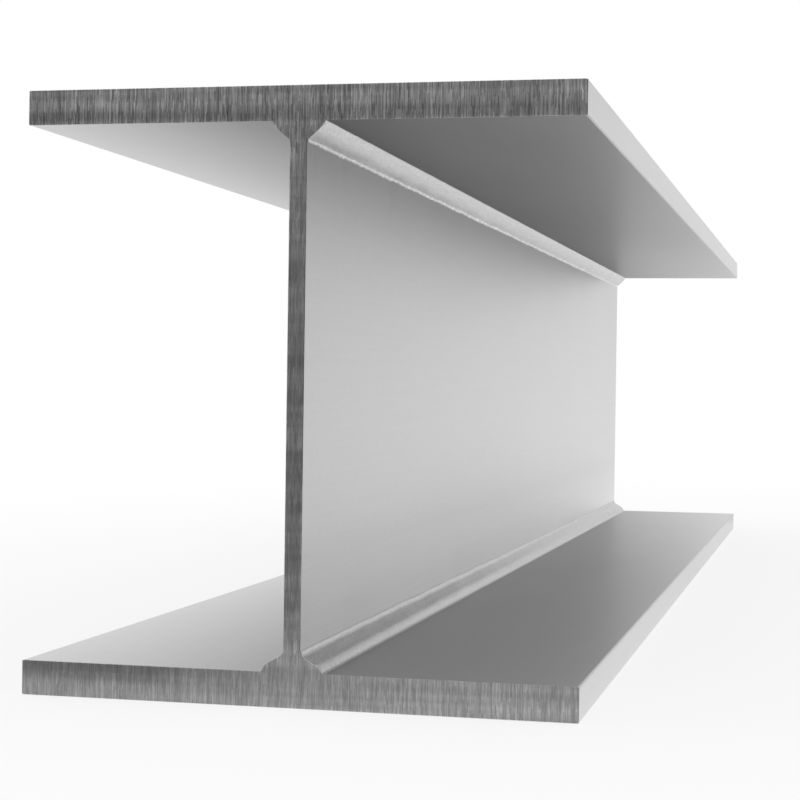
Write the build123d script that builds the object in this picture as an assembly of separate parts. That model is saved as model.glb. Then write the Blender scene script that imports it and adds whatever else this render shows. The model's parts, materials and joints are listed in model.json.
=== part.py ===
from build123d import *
import os

# A length of aluminum H-beam stock: one section with two equal flanges, a web half as thick,
# and a crowned root bead along each of the four corners between them.
# Millimetres. X runs across the flanges, Y along the length, Z up from the face it lies on.

# Driving dimensions of the section
DEPTH = 210.0             # over the outer faces of both flanges
FLANGE_WIDTH = 195.0      # tip to tip
FLANGE_THICKNESS = 12.0
WEB_THICKNESS = 6.0

# Root beads between web and flange
BEAD_LEG_ON_WEB = 6.5     # from the flange face down the web to the bead's toe
BEAD_LEG_ON_FLANGE = 6.5  # from the web face along the flange to the bead's toe
BEAD_CROWN = 0.5          # how far the bead's face swells past a straight slope
WEB_TOE_RADIUS = 3.0      # hollow blend where the bead runs out on the web

# Edges
TIP_RADIUS = 0.5          # along the flange tips
END_CHAMFER = 0.4         # deburred rim of both saw-cut ends

# Stock length
LENGTH = 915.0

SAME_PLACE = 1e-4         # two points nearer than this are one point


def section_quarter():
    """Outline of the upper right quarter, from the middle of the top face to the middle of the web."""
    web_face = WEB_THICKNESS / 2
    tip = FLANGE_WIDTH / 2
    top = DEPTH / 2
    underside = top - FLANGE_THICKNESS
    flange_toe = (web_face + BEAD_LEG_ON_FLANGE, underside)
    web_toe = (web_face, underside - BEAD_LEG_ON_WEB)
    flange = Polyline((0, top), (tip, top), (tip, underside), flange_toe)
    bead = SagittaArc(flange_toe, web_toe, BEAD_CROWN)
    web = Line(web_toe, (web_face, 0))
    return Curve() + [flange, bead, web]


def at_flange_tip(corner):
    """True for the eight corners of the section at the flange tips."""
    return abs(abs(corner.X) - FLANGE_WIDTH / 2) < SAME_PLACE


def at_web_toe(corner):
    """True for the four points where a root bead runs out on the web."""
    toe_height = DEPTH / 2 - FLANGE_THICKNESS - BEAD_LEG_ON_WEB
    on_web_face = abs(abs(corner.X) - WEB_THICKNESS / 2) < SAME_PLACE
    return on_web_face and abs(abs(corner.Y) - toe_height) < SAME_PLACE


def section_face():
    """The whole H section, centred on its own axis, with its tips broken and its toes blended."""
    quarter = section_quarter()
    upper = Curve() + [quarter, mirror(quarter, Plane.YZ)]
    outline = Curve() + [upper, mirror(upper, Plane.XZ)]
    face = make_face(outline.edges())
    face = fillet(face.vertices().filter_by(at_flange_tip), TIP_RADIUS)
    return fillet(face.vertices().filter_by(at_web_toe), WEB_TOE_RADIUS)


def h_beam():
    """The beam lying on its lower flange, its length centred on Y, both cut rims deburred."""
    beam = extrude(Plane.XZ * section_face(), amount=LENGTH / 2, both=True)
    rims = beam.faces().filter_by(Axis.Y).edges()
    beam = chamfer(rims, END_CHAMFER)
    return Pos(0, 0, DEPTH / 2) * beam


os.makedirs("parts", exist_ok=True)
export_step(h_beam(), "parts/h_beam.step")
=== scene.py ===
"""A length of aluminum H-beam stock: crowned root beads, brushed cut ends and mill faces."""

import json
import math

import bpy
import numpy as np
from bpy.props import FloatProperty, FloatVectorProperty, IntProperty, PointerProperty
from mathutils import Euler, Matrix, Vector


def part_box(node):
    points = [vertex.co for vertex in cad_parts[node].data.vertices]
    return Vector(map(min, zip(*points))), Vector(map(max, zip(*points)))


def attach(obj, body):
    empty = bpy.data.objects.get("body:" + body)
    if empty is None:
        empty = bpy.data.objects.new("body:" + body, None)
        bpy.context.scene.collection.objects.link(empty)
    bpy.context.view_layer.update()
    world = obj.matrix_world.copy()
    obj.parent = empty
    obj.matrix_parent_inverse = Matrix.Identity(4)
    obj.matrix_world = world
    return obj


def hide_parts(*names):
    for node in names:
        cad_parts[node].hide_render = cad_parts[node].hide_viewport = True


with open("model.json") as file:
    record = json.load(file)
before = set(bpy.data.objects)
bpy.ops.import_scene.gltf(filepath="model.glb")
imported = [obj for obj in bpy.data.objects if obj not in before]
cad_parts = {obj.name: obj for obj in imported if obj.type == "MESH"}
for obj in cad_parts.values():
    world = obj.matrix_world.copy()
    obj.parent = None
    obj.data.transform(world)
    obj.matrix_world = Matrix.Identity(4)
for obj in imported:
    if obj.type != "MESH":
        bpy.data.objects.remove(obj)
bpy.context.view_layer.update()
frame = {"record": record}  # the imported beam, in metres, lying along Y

bl_info = {
    "name": "H-beam Stock",
    "version": (1, 0, 0),
    "blender": (4, 5, 0),
    "location": "View3D > Sidebar > H-beam",
    "description": "Dresses a length of aluminum H-beam and sets the stage around it",
    "category": "Add Mesh",
}

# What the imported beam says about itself
NODE = "h_beam"
BODY = "root"
BEAM_LOW, BEAM_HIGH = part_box(NODE)
MOUNT_PLACE = {mount["name"]: mount["pos_m"] for mount in frame["record"]["mounts"]}
WEB_GAUGE = MOUNT_PLACE["web_right_face"][0] - MOUNT_PLACE["web_left_face"][0]

MM = 0.001

# The finishes of the beam's faces, in the order of its material slots
OUTER, TIP, UPPER_INNER, LOWER_INNER, UPPER_BEAD, UPPER_TOE, LOWER_BEAD, WEB, CUT = range(9)


class BeamSizes(bpy.types.PropertyGroup):
    """Sizes of the dressed beam that the outer box doesn't give."""

    flange_thickness: FloatProperty(
        name="Flange thickness", description="Thickness of both flanges",
        default=12 * MM, min=2 * MM, precision=4, unit="LENGTH")
    web_thickness: FloatProperty(
        name="Web thickness", description="Thickness of the web between the flanges",
        default=WEB_GAUGE, min=1 * MM, precision=4, unit="LENGTH")
    upper_leg: FloatProperty(
        name="Upper leg", description="Reach of an upper root bead along the web and along its flange",
        default=6.4 * MM, min=1 * MM, precision=4, unit="LENGTH")
    lower_leg: FloatProperty(
        name="Lower leg", description="Reach of a lower root bead along the web",
        default=5.8 * MM, min=1 * MM, precision=4, unit="LENGTH")
    lower_reach: FloatProperty(
        name="Lower reach", description="Reach of a lower root bead along its flange",
        default=7.8 * MM, min=1 * MM, precision=4, unit="LENGTH")
    upper_crown: FloatProperty(
        name="Upper crown", description="How far an upper bead swells past a straight slope",
        default=0.5 * MM, min=0.05 * MM, precision=5, unit="LENGTH")
    lower_crown: FloatProperty(
        name="Lower crown", description="How far a lower bead swells past a straight slope",
        default=1.0 * MM, min=0.05 * MM, precision=5, unit="LENGTH")
    lower_lean: FloatProperty(
        name="Lower lean", description="How far the swell of a lower bead is pushed towards its flange",
        default=0.2 * MM, min=0, precision=5, unit="LENGTH")
    upper_foot: FloatProperty(
        name="Upper foot", description="Hollow blend of an upper bead into its flange",
        default=0.4 * MM, min=0.1 * MM, precision=5, unit="LENGTH")
    lower_foot: FloatProperty(
        name="Lower foot", description="Hollow blend of a lower bead into its flange",
        default=1.4 * MM, min=0.1 * MM, precision=5, unit="LENGTH")
    upper_toe: FloatProperty(
        name="Upper toe", description="Hollow blend of an upper bead into the web",
        default=1.6 * MM, min=0.2 * MM, precision=5, unit="LENGTH")
    lower_toe: FloatProperty(
        name="Lower toe", description="Hollow blend of a lower bead into the web",
        default=2.8 * MM, min=0.2 * MM, precision=5, unit="LENGTH")
    toe_wander: FloatProperty(
        name="Toe wander", description="How far the toe of a bead strays along the web",
        default=0.2 * MM, min=0, precision=5, unit="LENGTH")
    toe_uneven: FloatProperty(
        name="Toe unevenness", description="How far the hollow of a toe opens and closes along the beam",
        default=0.45 * MM, min=0, precision=5, unit="LENGTH")
    tip_radius: FloatProperty(
        name="Tip radius", description="Rounding along the flange tips",
        default=0.5 * MM, min=0.1 * MM, precision=5, unit="LENGTH")
    rim_chamfer: FloatProperty(
        name="Rim chamfer", description="Deburred rim of both cut ends",
        default=0.15 * MM, min=0.05 * MM, precision=5, unit="LENGTH")
    station_step: FloatProperty(
        name="Station step", description="Spacing of the sections that the beam is drawn through",
        default=1.25 * MM, min=0.5 * MM, precision=4, unit="LENGTH")
    seed: IntProperty(
        name="Seed", description="Picks another set of wanders", default=7, min=0)


class BeamFinish(bpy.types.PropertyGroup):
    """Colours and roughness of the beam's faces, some colours with painted shade and painted light."""

    outer_colour: FloatVectorProperty(
        name="Outer faces", description="Mill finish of the outer flange faces",
        subtype="COLOR", default=(0.55, 0.55, 0.55), min=0, max=1)
    web_colour: FloatVectorProperty(
        name="Web", description="Mill finish of the web at its lower edge",
        subtype="COLOR", default=(0.62, 0.62, 0.62), min=0, max=1)
    # The upper and lower copies of the inner face and bead finishes are one finish each; their colours are
    # set apart as painted light and shade, the upper copies lighter
    upper_inner_colour: FloatVectorProperty(
        name="Upper inner face", description="Mill finish of the upper flange's inner face at its tips",
        subtype="COLOR", default=(0.69, 0.69, 0.69), min=0, max=1)
    lower_inner_colour: FloatVectorProperty(
        name="Lower inner face", description="Mill finish of the lower flange's inner face at its tips",
        subtype="COLOR", default=(0.62, 0.62, 0.62), min=0, max=1)
    # Painted highlight: the flange tips get a lighter copy of the mill finish, standing in for the glare they
    # catch when seen edge-on
    tip_colour: FloatVectorProperty(
        name="Flange tips", description="Brighter finish along the flange tips",
        subtype="COLOR", default=(0.77, 0.77, 0.77), min=0, max=1)
    upper_bead_colour: FloatVectorProperty(
        name="Upper beads", description="Fused metal of the upper root beads",
        subtype="COLOR", default=(0.70, 0.70, 0.70), min=0, max=1)
    lower_bead_colour: FloatVectorProperty(
        name="Lower beads", description="Fused metal of the lower root beads",
        subtype="COLOR", default=(0.58, 0.58, 0.58), min=0, max=1)
    cut_colour: FloatVectorProperty(
        name="Cut ends", description="Brushed metal of the saw-cut ends",
        subtype="COLOR", default=(0.44, 0.44, 0.44), min=0, max=1)
    web_roughness: FloatProperty(
        name="Web roughness", description="How far the web blurs what it reflects",
        default=0.33, min=0, max=1, subtype="FACTOR")
    inner_roughness: FloatProperty(
        name="Inner flange roughness",
        description="How far the inner flange faces blur what they reflect",
        default=0.36, min=0, max=1, subtype="FACTOR")
    tip_roughness: FloatProperty(
        name="Flange tip roughness", description="How far the flange tips blur what they reflect",
        default=0.36, min=0, max=1, subtype="FACTOR")
    web_pull: FloatProperty(
        name="Web pull", description="How much more the web blurs across the stock than along it",
        default=0.84, min=0, max=1, subtype="FACTOR")
    # Painted shade: the inner flange faces are darkened towards the web, standing in for the shade of the
    # corner between flange and web
    upper_root_painted_shade: FloatProperty(
        name="Upper root shade",
        description="Colour of the upper flange's inner face beside the web, as a share of that at its tips",
        default=0.24, min=0, max=1, subtype="FACTOR")
    lower_root_painted_shade: FloatProperty(
        name="Lower root shade",
        description="Colour of the lower flange's inner face beside the web, as a share of that at its tips",
        default=0.52, min=0, max=1, subtype="FACTOR")
    # Painted shade: the web is darkened towards its upper edge, under the upper flange
    top_painted_shade: FloatProperty(
        name="Top shade",
        description="Colour of the web at its upper edge, as a share of that at its lower edge",
        default=0.68, min=0, max=1, subtype="FACTOR")
    # Painted light: the web is brightened above its lower beads, standing in for light thrown back off the
    # lower flange
    low_painted_gleam: FloatProperty(
        name="Low gleam", description="How many times brighter the web is beside its lower beads",
        default=1.38, min=1, max=2, subtype="FACTOR")
    inner_pull: FloatProperty(
        name="Inner flange pull",
        description="How much more the inner flange faces blur along the stock than across it",
        default=0.47, min=0, max=1, subtype="FACTOR")


class StageLook(bpy.types.PropertyGroup):
    """The floor, the light and the camera's lens."""

    floor_colour: FloatVectorProperty(
        name="Floor", description="Colour of the pale floor",
        subtype="COLOR", default=(0.9, 0.9, 0.9), min=0, max=1)
    shadow_depth: FloatProperty(
        name="Shadow depth", description="How much of the floor's shading shows around the beam",
        default=0.22, min=0, max=1, subtype="FACTOR")
    card_level: FloatProperty(
        name="Card level", description="Brightens or dims all the dark cards that the metal sees around it",
        default=1.0, min=0, max=2, subtype="FACTOR")
    lens: FloatProperty(
        name="Lens", description="Focal length of the camera",
        default=86.264, min=10, subtype="DISTANCE_CAMERA")


# Shapes of the beam


def smooth_noise(rng, along, spacing):
    """Random values from -1 to 1 at knots one spacing apart, joined smoothly along the beam."""
    knots = rng.uniform(-1.0, 1.0, int(along[-1] / spacing) + 3)
    place = along / spacing
    knot = place.astype(int)
    part = place - knot
    ease = part * part * (3.0 - 2.0 * part)
    return knots[knot] * (1.0 - ease) + knots[knot + 1] * ease


def arc(centre_u, centre_v, radius, start, end, count):
    """Points on arcs, one row for each station: start and end are angles, count the number of steps."""
    share = np.linspace(0.0, 1.0, count + 1)
    angle = start[:, None] + (end - start)[:, None] * share
    return np.stack([centre_u[:, None] + radius[:, None] * np.cos(angle),
                     centre_v[:, None] + radius[:, None] * np.sin(angle)], axis=-1)


TIP_STEPS = 3      # steps round each flange tip's edge
FOOT_STEPS = 3     # steps round a bead's hollow foot on the flange
CROWN_STEPS = 8    # steps across the face of a bead
TOE_STEPS = 5      # steps round a bead's hollow toe on the web
SHEET_GAP = 10 * MM  # space between the pieces of the flat layout
LAYOUT = "OFBake"    # name of that layout, which runs along the beam in its first direction

# How a bead strays along the beam, and how far apart its turns are
REACH_STRAY = 0.4        # wander of its edge on the flange, as a share of its toe's on the web
REACH_TURNS = 9 * MM
LEG_TURNS = 17 * MM
CROWN_STRAY = 0.15       # change of its swell, as a share of it
CROWN_TURNS = 31 * MM
LOWER_UNEVEN = 0.2       # unevenness of a lower toe, as a share of an upper one's
TOE_TURNS = 3 * MM


def bead_points(rng, along, sizes, upper, root_u, root_v):
    """Foot, crown and toe of one bead at each station, from the flange to the web.

    root_u is the web face's distance from the middle of the web, root_v the flange face's from mid-depth."""
    reach = sizes.upper_leg if upper else sizes.lower_reach
    reach = reach + REACH_STRAY * sizes.toe_wander * smooth_noise(rng, along, REACH_TURNS)
    leg = sizes.upper_leg if upper else sizes.lower_leg
    leg = leg + sizes.toe_wander * smooth_noise(rng, along, LEG_TURNS)
    crown = sizes.upper_crown if upper else sizes.lower_crown
    crown = crown * (1.0 + CROWN_STRAY * smooth_noise(rng, along, CROWN_TURNS))
    foot = np.full_like(along, sizes.upper_foot if upper else sizes.lower_foot)
    toe = sizes.upper_toe if upper else sizes.lower_toe
    uneven = sizes.toe_uneven * (1.0 if upper else LOWER_UNEVEN)
    toe = toe + uneven * smooth_noise(rng, along, TOE_TURNS)
    # The crown is an arc over the chord between both edges
    chord = np.hypot(reach, leg)
    radius = (chord * chord / 4.0 + crown * crown) / (2.0 * crown)
    centre_u = root_u + reach / 2.0 - leg / chord * (radius - crown)
    centre_v = root_v - leg / 2.0 + reach / chord * (radius - crown)
    # The foot is a hollow arc between flange and crown, the toe one between crown and web
    foot_v = root_v - foot
    foot_u = centre_u + np.sqrt((radius + foot) ** 2 - (foot_v - centre_v) ** 2)
    toe_u = root_u + toe
    toe_v = centre_v - np.sqrt((radius + toe) ** 2 - (toe_u - centre_u) ** 2)
    foot_touch = np.arctan2(foot_v - centre_v, foot_u - centre_u)
    toe_touch = np.arctan2(toe_v - centre_v, toe_u - centre_u)
    on_flange = np.full_like(along, math.pi / 2.0)
    on_web = np.full_like(along, math.pi)
    hollow_foot = arc(foot_u, foot_v, foot, on_flange, foot_touch + math.pi, FOOT_STEPS)
    face = arc(centre_u, centre_v, radius, foot_touch, toe_touch, CROWN_STEPS)
    # A lean pushes the middle of the crown's swell towards the flange
    lean = 0.0 if upper else sizes.lower_lean
    swell = lean * np.sin(np.linspace(0.0, 2.0 * math.pi, CROWN_STEPS + 1))
    outwards = np.stack([leg / chord, -reach / chord], axis=-1)
    face = face + outwards[:, None, :] * swell[None, :, None]
    hollow_toe = arc(toe_u, toe_v, toe, toe_touch + math.pi, on_web, TOE_STEPS)
    return np.concatenate([hollow_foot, face[:, 1:], hollow_toe[:, 1:]], axis=1)


def quarter_points(rng, along, sizes, upper, half_width, half_depth):
    """A right-hand quarter of the section at each station, from its outer edge round the tip to the web."""
    still = np.ones_like(along)
    tip = sizes.tip_radius
    underside = half_depth - sizes.flange_thickness
    right_angle = math.pi / 2.0
    outer_edge = arc(still * (half_width - tip), still * (half_depth - tip), still * tip,
                     still * right_angle, still * 0.0, TIP_STEPS)
    inner_edge = arc(still * (half_width - tip), still * (underside + tip), still * tip,
                     still * 0.0, still * -right_angle, TIP_STEPS)
    bead = bead_points(rng, along, sizes, upper, sizes.web_thickness / 2.0, underside)
    return np.concatenate([outer_edge, inner_edge, bead], axis=1)


def quarter_finishes(upper):
    """The finish of the strip that follows each point of a quarter, except the last."""
    inner = UPPER_INNER if upper else LOWER_INNER
    bead = UPPER_BEAD if upper else LOWER_BEAD
    toe = UPPER_TOE if upper else LOWER_BEAD
    edges = [TIP] * (TIP_STEPS + 1) + [inner] * (TIP_STEPS + 1)
    return edges + [bead] * (FOOT_STEPS + CROWN_STEPS) + [toe] * TOE_STEPS


def section_points(rng, along, sizes, width, depth):
    """The section at each station, clockwise from the top edge on the right, and each strip's finish."""
    sides = ((1, 1, 1), (1, -1, -1), (-1, -1, 1), (-1, 1, -1))  # across, up, order of the points
    rows, finishes = [], []
    for across, up, order in sides:
        quarter = quarter_points(rng, along, sizes, up > 0, width / 2.0, depth / 2.0)
        rows.append((quarter * np.array([across, up]))[:, ::order])
        finishes += quarter_finishes(up > 0)[::order] + [WEB if order == 1 else OUTER]
    return np.concatenate(rows, axis=1), finishes


def drawn_in(ring, by):
    """A section drawn in by the same amount on every side, with its corners mitred."""
    after = np.roll(ring, -1, axis=0) - ring
    after /= np.linalg.norm(after, axis=1, keepdims=True)
    inward_after = np.stack([after[:, 1], -after[:, 0]], axis=1)
    inward_before = np.roll(inward_after, 1, axis=0)
    mitre = inward_after + inward_before
    mitre /= 1.0 + np.sum(inward_after * inward_before, axis=1, keepdims=True)
    return ring + by * mitre


def lay_flat(mesh, places, ring):
    """Lay the skin out as one flat sheet with both end faces beside it, for the baked finish."""
    ring = np.asarray(ring)
    strips = np.linalg.norm(np.roll(ring, -1, axis=0) - ring, axis=1)
    girth = np.concatenate([[0.0], np.cumsum(strips)])
    along = np.asarray(places)
    here, there = along[:-1, None], along[1:, None]
    start, end = girth[None, :-1], girth[None, 1:]
    corners = ((here, start), (here, end), (there, end), (there, start))
    corners = [np.stack(np.broadcast_arrays(*corner), axis=-1) for corner in corners]
    sheet = np.stack(corners, axis=2).reshape(-1, 2)
    beside = ring - ring.min(axis=0) + (along[-1] + SHEET_GAP, 0.0)
    above = beside + (0.0, np.ptp(ring[:, 1]) + SHEET_GAP)
    layout = np.concatenate([sheet, beside[::-1], above]) / girth[-1]
    mesh.uv_layers.new(name=LAYOUT).data.foreach_set("uv", layout.ravel())


def beam_mesh(sizes):
    """One closed skin: the section drawn along the beam, a chamfered rim and a flat face at each end."""
    rng = np.random.default_rng(sizes.seed)
    width = BEAM_HIGH.x - BEAM_LOW.x
    depth = BEAM_HIGH.z - BEAM_LOW.z
    length = BEAM_HIGH.y - BEAM_LOW.y
    count = round(length / sizes.station_step)
    along = np.linspace(sizes.rim_chamfer, length - sizes.rim_chamfer, count + 1)
    sections, finishes = section_points(rng, along, sizes, width, depth)
    near_rim = drawn_in(sections[0], sizes.rim_chamfer)
    far_rim = drawn_in(sections[-1], sizes.rim_chamfer)
    rings = [near_rim, *sections, far_rim]
    places = [0.0, *along, length]
    middle = (BEAM_LOW.x + BEAM_HIGH.x) / 2.0
    mid_depth = (BEAM_LOW.z + BEAM_HIGH.z) / 2.0
    points = []
    for ring, place in zip(rings, places):
        points += [(middle + u, BEAM_LOW.y + place, mid_depth + v) for u, v in ring]
    size = len(finishes)
    faces, slots = [], []
    for station in range(len(rings) - 1):
        rim = station in (0, len(rings) - 2)
        here, there = station * size, (station + 1) * size
        for spot in range(size):
            beside = (spot + 1) % size
            faces.append((here + spot, here + beside, there + beside, there + spot))
            slots.append(CUT if rim else finishes[spot])
    faces.append(tuple(range(size - 1, -1, -1)))
    faces.append(tuple(range((len(rings) - 1) * size, len(rings) * size)))
    slots += [CUT, CUT]
    mesh = bpy.data.meshes.new("dressed_beam")
    mesh.from_pydata(points, [], faces)
    mesh.polygons.foreach_set("material_index", slots)
    rounded = [slot in (UPPER_BEAD, UPPER_TOE, LOWER_BEAD) for slot in slots]
    mesh.polygons.foreach_set("use_smooth", rounded)
    lay_flat(mesh, places, sections[0])
    mesh.validate()
    mesh.update()
    return mesh


# Finishes

# Patterns in the metal: scale along each axis, fineness and detail
MILL_CLOUDS = ((1.0, 0.4, 1.0), 28.0, 4.0)
MILL_LINES = ((1.0, 0.012, 1.0), 900.0, 3.0)
MILL_GRAIN = ((1.0, 0.5, 1.0), 900.0, 2.0)
BEAD_SPECKLE = ((1.0, 0.6, 1.0), 900.0, 4.0)
BEAD_STREAKS = ((1.0, 0.08, 1.0), 420.0, 3.0)
BEAD_FLECKS = ((1.0, 0.7, 1.0), 330.0, 2.0)
CUT_CLOUDS = ((1.0, 1.0, 0.3), 160.0, 3.0)
CUT_BANDS = ((0.03, 1.0, 1.0), 260.0, 1.0, 0.213)  # the last number picks a slice of the pattern
CUT_SCRATCHES = ((1.0, 1.0, 0.03), 1500.0, 3.0)

# Brush strokes on the cut ends: width and length
FINE_STROKES = (0.31 * MM, 3.6 * MM)
LONG_STROKES = (0.43 * MM, 16.0 * MM)

# How far each pattern lightens and darkens the metal, as a share of its colour
CLOUD_SHADE = 0.017
LINE_SHADE = 0.015
GRAIN_SHADE = 0.02
SPECKLE_SHADE = 0.11
STREAK_SHADE = 0.1
FINE_STROKE_SHADE = 0.34
LONG_STROKE_SHADE = 0.27
CUT_CLOUD_SHADE = 0.1
CUT_BAND_SHADE = 0.25

# Painted glints on the beads, as bright flecks, strongest along the upper toes: how many times as bright as
# the metal, and the part of their pattern that shows
CROWN_PAINTED_GLINT = 1.03
TOE_PAINTED_GLINT = 1.4
FLECK_RANGE = (0.52, 0.68)

# Roughness and relief
MILL_BLUR_STRAY = 0.01
BEAD_ROUGHNESS = (0.32, 0.4)
CUT_ROUGHNESS = (0.39, 0.51)
MILL_RELIEF = 0.004 * MM
BEAD_RELIEF = 0.08 * MM
CUT_RELIEF = 0.02 * MM
QUARTER_TURN = 0.25  # turns the direction of the blur from along the stock to across it

# Painted light: the gleam on the web above the lower beads is painted into its colour
PAINTED_GLEAM_HEIGHTS = (18 * MM, 50 * MM)      # heights between which the gleam above the lower beads fades out
BRUSHED_HEIGHTS = (180 * MM, 195 * MM)  # heights between which the marks on the cut ends grow stronger
LOW_MARKS = 0.57                        # strength of the marks below them, as a share of that above


class Nodes:
    """Shorthand for wiring the nodes of one material."""

    def __init__(self, name):
        self.material = bpy.data.materials.new(name)
        self.material.use_nodes = True
        self.tree = self.material.node_tree
        self.shader = self.tree.nodes["Principled BSDF"]

    def add(self, kind, **settings):
        node = self.tree.nodes.new(kind)
        for key, value in settings.items():
            setattr(node, key, value)
        return node

    def join(self, source, target):
        self.tree.links.new(source, target)

    def noise(self, stretch, scale, detail, slice_at=0.0):
        """Noise in the beam's own space, with its own scale along each axis."""
        place = self.add("ShaderNodeTexCoord")
        fit = self.add("ShaderNodeMapping")
        fit.inputs["Scale"].default_value = stretch
        fit.inputs["Location"].default_value = (0.0, slice_at, 0.0)
        noise = self.add("ShaderNodeTexNoise")
        noise.inputs["Scale"].default_value = scale
        noise.inputs["Detail"].default_value = detail
        self.join(place.outputs["Object"], fit.inputs["Vector"])
        self.join(fit.outputs["Vector"], noise.inputs["Vector"])
        return noise.outputs["Fac"]

    def spread(self, value, low, high, from_low=0.3, from_high=0.7):
        """The value's middle range spread over low to high."""
        node = self.add("ShaderNodeMapRange")
        node.inputs["From Min"].default_value = from_low
        node.inputs["From Max"].default_value = from_high
        node.inputs["To Min"].default_value = low
        node.inputs["To Max"].default_value = high
        self.join(value, node.inputs["Value"])
        return node.outputs["Result"]

    def waver(self, value, share, from_low=0.3, from_high=0.7):
        """A shade that strays from 1 by the share, either way, over the value's middle range."""
        return self.spread(value, 1.0 - share, 1.0 + share, from_low, from_high)

    def chain(self, operation, *values):
        """A chain of one operation over several values, each a socket or a number."""
        result = values[0]
        for value in values[1:]:
            node = self.add("ShaderNodeMath", operation=operation)
            self.join(result, node.inputs[0])
            if isinstance(value, float):
                node.inputs[1].default_value = value
            else:
                self.join(value, node.inputs[1])
            result = node.outputs["Value"]
        return result

    def whole(self, value):
        """The value rounded down to a whole number."""
        node = self.add("ShaderNodeMath", operation="FLOOR")
        self.join(value, node.inputs[0])
        return node.outputs["Value"]

    def times(self, *values):
        """The product of several values."""
        return self.chain("MULTIPLY", *values)

    def strokes(self, width, length):
        """A random value for each upright brush stroke of that width and length, in staggered columns."""
        place = self.add("ShaderNodeTexCoord")
        axes = self.add("ShaderNodeSeparateXYZ")
        self.join(place.outputs["Object"], axes.inputs["Vector"])
        column = self.whole(self.chain("DIVIDE", axes.outputs["X"], width))
        stagger = self.add("ShaderNodeTexWhiteNoise", noise_dimensions="1D")
        self.join(column, stagger.inputs["W"])
        row = self.chain("ADD", self.chain("DIVIDE", axes.outputs["Z"], length), stagger.outputs["Value"])
        cell = self.add("ShaderNodeCombineXYZ")
        self.join(column, cell.inputs["X"])
        self.join(self.whole(row), cell.inputs["Y"])
        stroke = self.add("ShaderNodeTexWhiteNoise", noise_dimensions="2D")
        self.join(cell.outputs["Vector"], stroke.inputs["Vector"])
        return stroke.outputs["Value"]

    def fade(self, axis, share_at, full_at, share):
        """A shade that runs from a share at one distance from the origin to 1 at another, along an axis."""
        place = self.add("ShaderNodeTexCoord")
        axes = self.add("ShaderNodeSeparateXYZ")
        distance = self.add("ShaderNodeMath", operation="ABSOLUTE")
        self.join(place.outputs["Object"], axes.inputs["Vector"])
        self.join(axes.outputs[axis], distance.inputs[0])
        return self.spread(distance.outputs["Value"], share, 1.0, share_at, full_at)

    def tint(self, colour, shade):
        """The colour made lighter or darker by a shade near 1, as the base colour."""
        node = self.add("ShaderNodeVectorMath", operation="SCALE")
        node.inputs[0].default_value = colour
        self.join(shade, node.inputs["Scale"])
        self.join(node.outputs["Vector"], self.shader.inputs["Base Color"])

    def relief(self, height, depth):
        """Fine relief of the given depth in metres."""
        node = self.add("ShaderNodeBump")
        node.inputs["Strength"].default_value = 1.0
        node.inputs["Distance"].default_value = depth
        self.join(height, node.inputs["Height"])
        self.join(node.outputs["Normal"], self.shader.inputs["Normal"])

    def surface(self, shading):
        """Another shading in place of the metal's."""
        self.tree.nodes.remove(self.shader)
        self.join(shading, self.tree.nodes["Material Output"].inputs["Surface"])


def mill_finish(name, colour, roughness, pull=0.0, across=False, fades=()):
    """Mill finish: faint clouds, fine lines along the stock and a fine grain.

    Pull makes the blur stronger along the stock, or across it. Fades paint shade or light into the colour
    along an axis."""
    nodes = Nodes(name)
    nodes.shader.inputs["Metallic"].default_value = 1.0
    nodes.shader.inputs["Anisotropic"].default_value = pull
    nodes.shader.inputs["Anisotropic Rotation"].default_value = QUARTER_TURN if across else 0.0
    lay = nodes.add("ShaderNodeTangent", direction_type="UV_MAP", uv_map=LAYOUT)
    nodes.join(lay.outputs["Tangent"], nodes.shader.inputs["Tangent"])
    clouds = nodes.noise(*MILL_CLOUDS)
    lines = nodes.noise(*MILL_LINES)
    grain = nodes.noise(*MILL_GRAIN)
    shade = nodes.times(nodes.waver(clouds, CLOUD_SHADE), nodes.waver(lines, LINE_SHADE),
                        nodes.waver(grain, GRAIN_SHADE))
    for fade in fades:
        shade = nodes.times(shade, nodes.fade(*fade))
    nodes.tint(colour, shade)
    blur = nodes.spread(clouds, roughness - MILL_BLUR_STRAY, roughness + MILL_BLUR_STRAY)
    nodes.join(blur, nodes.shader.inputs["Roughness"])
    nodes.relief(nodes.times(lines, grain), MILL_RELIEF)
    return nodes.material


def fused_finish(name, colour, glint):
    """Fused metal of a root bead: a fine speckle, long streaks and small flecks painted as glints, that many
    times as bright.
    """
    nodes = Nodes(name)
    nodes.shader.inputs["Metallic"].default_value = 1.0
    speckle = nodes.noise(*BEAD_SPECKLE)
    streaks = nodes.noise(*BEAD_STREAKS)
    flecks = nodes.noise(*BEAD_FLECKS)
    shade = nodes.times(nodes.waver(speckle, SPECKLE_SHADE), nodes.waver(streaks, STREAK_SHADE),
                        nodes.spread(flecks, 1.0, glint, *FLECK_RANGE))
    nodes.tint(colour, shade)
    nodes.join(nodes.spread(streaks, *BEAD_ROUGHNESS), nodes.shader.inputs["Roughness"])
    nodes.relief(nodes.times(speckle, streaks), BEAD_RELIEF)
    return nodes.material


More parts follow.
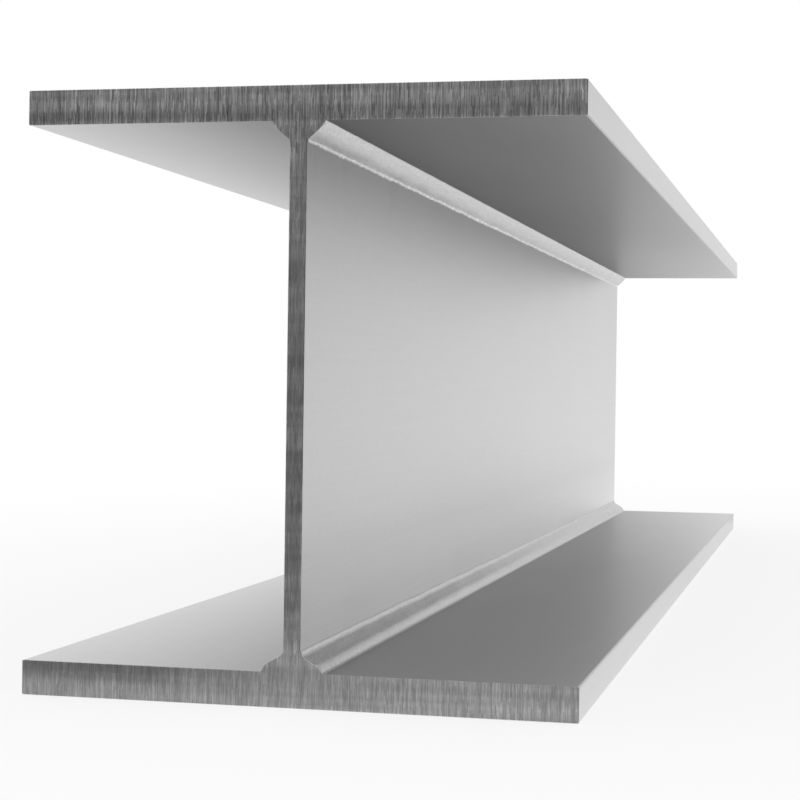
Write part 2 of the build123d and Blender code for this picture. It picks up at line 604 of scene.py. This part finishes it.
def brushed_finish(name, colour):
    """Saw-cut end, brushed upright: close strokes of uneven length and faint level bands."""
    nodes = Nodes(name)
    nodes.shader.inputs["Metallic"].default_value = 1.0
    fine = nodes.strokes(*FINE_STROKES)
    long = nodes.strokes(*LONG_STROKES)
    clouds = nodes.noise(*CUT_CLOUDS)
    bands = nodes.noise(*CUT_BANDS)
    scratches = nodes.noise(*CUT_SCRATCHES)
    marks = nodes.times(nodes.waver(fine, FINE_STROKE_SHADE, 0.0, 1.0),
                        nodes.waver(long, LONG_STROKE_SHADE, 0.0, 1.0),
                        nodes.waver(clouds, CUT_CLOUD_SHADE), nodes.waver(bands, CUT_BAND_SHADE))
    depth = nodes.fade("Z", *BRUSHED_HEIGHTS, LOW_MARKS)
    shade = nodes.chain("ADD", nodes.times(nodes.chain("SUBTRACT", marks, 1.0), depth), 1.0)
    nodes.tint(colour, shade)
    nodes.join(nodes.spread(scratches, *CUT_ROUGHNESS), nodes.shader.inputs["Roughness"])
    nodes.relief(scratches, CUT_RELIEF)
    return nodes.material


def beam_finishes(finish):
    """The beam's finishes, in the order of its material slots."""
    # Painted shade: the inner flange faces darken towards the web
    upper_painted_root_shade = ("X", WEB_GAUGE / 2.0, BEAM_HIGH.x, finish.upper_root_painted_shade)
    lower_painted_root_shade = ("X", WEB_GAUGE / 2.0, BEAM_HIGH.x, finish.lower_root_painted_shade)
    # Painted shade on the web, darker towards its top, and painted light, a gleam above its lower beads
    web_painted_fades = (("Z", BEAM_HIGH.z, BEAM_LOW.z, finish.top_painted_shade),
                 ("Z", *PAINTED_GLEAM_HEIGHTS, finish.low_painted_gleam))
    inner = (finish.inner_roughness, finish.inner_pull, False)
    web = (finish.web_roughness, finish.web_pull, True)
    return {
        OUTER: mill_finish("mill_outer_faces", finish.outer_colour, *web),
        # The tips' lighter colour is a painted highlight
        TIP: mill_finish("mill_flange_tips_painted_highlight", finish.tip_colour, finish.tip_roughness),
        UPPER_INNER: mill_finish("mill_upper_inner_face_painted_shade", finish.upper_inner_colour, *inner, [upper_painted_root_shade]),
        LOWER_INNER: mill_finish("mill_lower_inner_face_painted_shade", finish.lower_inner_colour, *inner, [lower_painted_root_shade]),
        UPPER_BEAD: fused_finish("fused_upper_beads", finish.upper_bead_colour, CROWN_PAINTED_GLINT),
        UPPER_TOE: fused_finish("painted_glint_upper_toes", finish.upper_bead_colour, TOE_PAINTED_GLINT),
        LOWER_BEAD: fused_finish("fused_lower_beads", finish.lower_bead_colour, CROWN_PAINTED_GLINT),
        WEB: mill_finish("mill_web_painted_shade_and_gleam", finish.web_colour, *web, web_painted_fades),
        CUT: brushed_finish("brushed_cut_ends", finish.cut_colour),
    }


class HBEAM_OT_dress_beam(bpy.types.Operator):
    """Make the dressed beam in place of the plain one"""

    bl_idname = "hbeam.dress_beam"
    bl_label = "Dress Beam"

    def execute(self, context):
        mesh = beam_mesh(context.scene.hbeam_sizes)
        finishes = beam_finishes(context.scene.hbeam_finish)
        for slot in sorted(finishes):
            mesh.materials.append(finishes[slot])
        beam = bpy.data.objects.new("beam_stock", mesh)
        context.scene.collection.objects.link(beam)
        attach(beam, BODY)
        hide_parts(NODE)
        return {"FINISHED"}


# Stage

# Where the camera stands and looks, in the beam's frame
CAMERA_PLACE = Vector((0.1792, -1.0784, 0.1091))
CAMERA_TILT = math.radians(89.588)   # 90 is level
CAMERA_ROLL = math.radians(-0.8)
CAMERA_PAN = math.radians(12.97)     # to the left of the beam's length
SENSOR_WIDTH = 36.0                  # millimetres

FLOOR_REACH = 40.0       # half the floor's width, far enough to meet the horizon
FLOOR_DROP = 0.0002      # the floor lies this far under the beam
SHADING_REACH = (0.25, 0.75)       # distances between which the floor's shading turns plain white
SHADING_SHAPE = (1.0, 0.5, 0.0)    # the shading reaches twice as far along the beam as across it
PLAIN_RAYS = ("Is Camera Ray", "Is Glossy Ray", "Is Transmission Ray")  # rays that see the plain white

# Cards darker than the white around them, which only reflections see: the corners and the brightness of each
CARD_LIFT = 0.002        # cards on the floor lie this far above it
DARK_CARDS = {
    "floor_card": (((0.13, -0.45, CARD_LIFT), (3.0, -0.45, CARD_LIFT), (3.0, 3.0, CARD_LIFT),
                    (1.60, 3.0, CARD_LIFT)), 0.02),
    "right_card": (((-0.135, -2.0, CARD_LIFT), (3.0, -2.0, CARD_LIFT), (3.0, -0.45, CARD_LIFT),
                    (0.223, -0.45, CARD_LIFT)), 0.02),
    "side_card": (((2.0, -2.0, 0.0), (2.0, 1.27, 0.0), (2.0, 1.27, 1.50),
                   (2.0, -2.0, 1.50)), 0.01),
    "back_card": (((-2.0, -2.0, 0.0), (0.8, -2.0, 0.0), (0.8, -2.0, 0.73), (-2.0, -2.0, 0.73)), 0.03),
    "near_card": (((-1.5, -0.474, CARD_LIFT), (-0.052, -0.474, CARD_LIFT), (0.473, -1.5, CARD_LIFT),
                   (-1.5, -1.5, CARD_LIFT)), 0.25),
    "far_card": (((0.02, 0.5, CARD_LIFT), (0.2, 0.5, CARD_LIFT), (0.26, 1.1, CARD_LIFT),
                  (0.02, 1.1, CARD_LIFT)), 0.75),
    "front_card": (((0.55, 1.71, 0.60), (1.34, 1.20, 0.60), (1.05, 0.93, 1.03),
                    (0.43, 1.33, 1.03)), 0.08),
}


def dark_card(name, corners, grey):
    """A flat card of one brightness that only reflections see."""
    mesh = bpy.data.meshes.new(name)
    mesh.from_pydata(corners, [], [range(len(corners))])
    nodes = Nodes(name)
    glow = nodes.add("ShaderNodeEmission")
    glow.inputs["Strength"].default_value = grey
    nodes.surface(glow.outputs["Emission"])
    mesh.materials.append(nodes.material)
    card = bpy.data.objects.new(name, mesh)
    card.visible_camera = False
    card.visible_diffuse = False
    card.visible_shadow = False
    card.visible_transmission = False
    return card


def floor_finish(look):
    """Pale floor that turns plain white away from the beam, where the eye or a reflection sees it."""
    nodes = Nodes("pale_floor")
    paint = nodes.add("ShaderNodeBsdfDiffuse")
    paint.inputs["Color"].default_value = (*look.floor_colour, 1.0)
    white = nodes.add("ShaderNodeEmission")
    path = nodes.add("ShaderNodeLightPath")
    seen = nodes.chain("MAXIMUM", *[path.outputs[ray] for ray in PLAIN_RAYS])
    place = nodes.add("ShaderNodeTexCoord")
    around = nodes.add("ShaderNodeVectorMath", operation="MULTIPLY")
    around.inputs[1].default_value = SHADING_SHAPE
    reach = nodes.add("ShaderNodeVectorMath", operation="LENGTH")
    nodes.join(place.outputs["Object"], around.inputs[0])
    nodes.join(around.outputs["Vector"], reach.inputs[0])
    plain = nodes.spread(reach.outputs["Value"], 1.0 - look.shadow_depth, 1.0, *SHADING_REACH)
    plain.node.interpolation_type = "SMOOTHSTEP"
    mix = nodes.add("ShaderNodeMixShader")
    nodes.join(nodes.times(plain, seen), mix.inputs["Fac"])
    nodes.join(paint.outputs["BSDF"], mix.inputs[1])
    nodes.join(white.outputs["Emission"], mix.inputs[2])
    nodes.surface(mix.outputs["Shader"])
    return nodes.material


def floor(look):
    """A large level floor just under the beam."""
    mesh = bpy.data.meshes.new("floor")
    height = BEAM_LOW.z - FLOOR_DROP
    sides = ((-1, -1), (1, -1), (1, 1), (-1, 1))
    corners = [(x * FLOOR_REACH, y * FLOOR_REACH, height) for x, y in sides]
    mesh.from_pydata(corners, [], [(0, 1, 2, 3)])
    mesh.materials.append(floor_finish(look))
    return bpy.data.objects.new("floor", mesh)


def white_world():
    """Even white light from all round, which rays find by themselves, so that the cards can hide it."""
    world = bpy.data.worlds.new("white_surround")
    world.use_nodes = True
    sky = world.node_tree.nodes["Background"]
    sky.inputs["Color"].default_value = (1.0, 1.0, 1.0, 1.0)
    sky.inputs["Strength"].default_value = 1.0
    world.cycles.sampling_method = "NONE"
    return world


def portrait_camera(lens):
    """The camera at the height of the web's middle, a little to the right of the near end."""
    data = bpy.data.cameras.new("portrait")
    data.sensor_width = SENSOR_WIDTH
    data.lens = lens
    camera = bpy.data.objects.new("portrait", data)
    camera.location = CAMERA_PLACE
    camera.rotation_euler = Euler((CAMERA_TILT, CAMERA_ROLL, CAMERA_PAN), "XYZ")
    return camera


class HBEAM_OT_set_stage(bpy.types.Operator):
    """Lay the floor, hang the dark cards, and set the light and the camera"""

    bl_idname = "hbeam.set_stage"
    bl_label = "Set Stage"

    def execute(self, context):
        scene = context.scene
        look = scene.hbeam_stage
        props = [floor(look)]
        for name, (corners, grey) in DARK_CARDS.items():
            props.append(dark_card(name, corners, grey * look.card_level))
        for prop in props:
            scene.collection.objects.link(prop)
        scene.world = white_world()
        camera = portrait_camera(look.lens)
        scene.collection.objects.link(camera)
        scene.camera = camera
        scene.view_settings.view_transform = "Standard"
        return {"FINISHED"}


class HBEAM_PT_stock(bpy.types.Panel):
    """Sizes, finishes and stage of the beam"""

    bl_idname = "HBEAM_PT_stock"
    bl_label = "H-beam Stock"
    bl_space_type = "VIEW_3D"
    bl_region_type = "UI"
    bl_category = "H-beam"

    def draw(self, context):
        for name in ("hbeam_sizes", "hbeam_finish", "hbeam_stage"):
            group = getattr(context.scene, name)
            column = self.layout.column()
            for setting in group.bl_rna.properties:
                if setting.identifier not in {"rna_type", "name"}:
                    column.prop(group, setting.identifier)
        self.layout.operator(HBEAM_OT_dress_beam.bl_idname)
        self.layout.operator(HBEAM_OT_set_stage.bl_idname)


CLASSES = (BeamSizes, BeamFinish, StageLook, HBEAM_OT_dress_beam, HBEAM_OT_set_stage, HBEAM_PT_stock)


def register():
    for item in CLASSES:
        bpy.utils.register_class(item)
    bpy.types.Scene.hbeam_sizes = PointerProperty(type=BeamSizes)
    bpy.types.Scene.hbeam_finish = PointerProperty(type=BeamFinish)
    bpy.types.Scene.hbeam_stage = PointerProperty(type=StageLook)


def unregister():
    del bpy.types.Scene.hbeam_stage
    del bpy.types.Scene.hbeam_finish
    del bpy.types.Scene.hbeam_sizes
    for item in reversed(CLASSES):
        bpy.utils.unregister_class(item)


def main():
    register()
    bpy.ops.hbeam.dress_beam()
    bpy.ops.hbeam.set_stage()


if __name__ == "__main__":
    main()
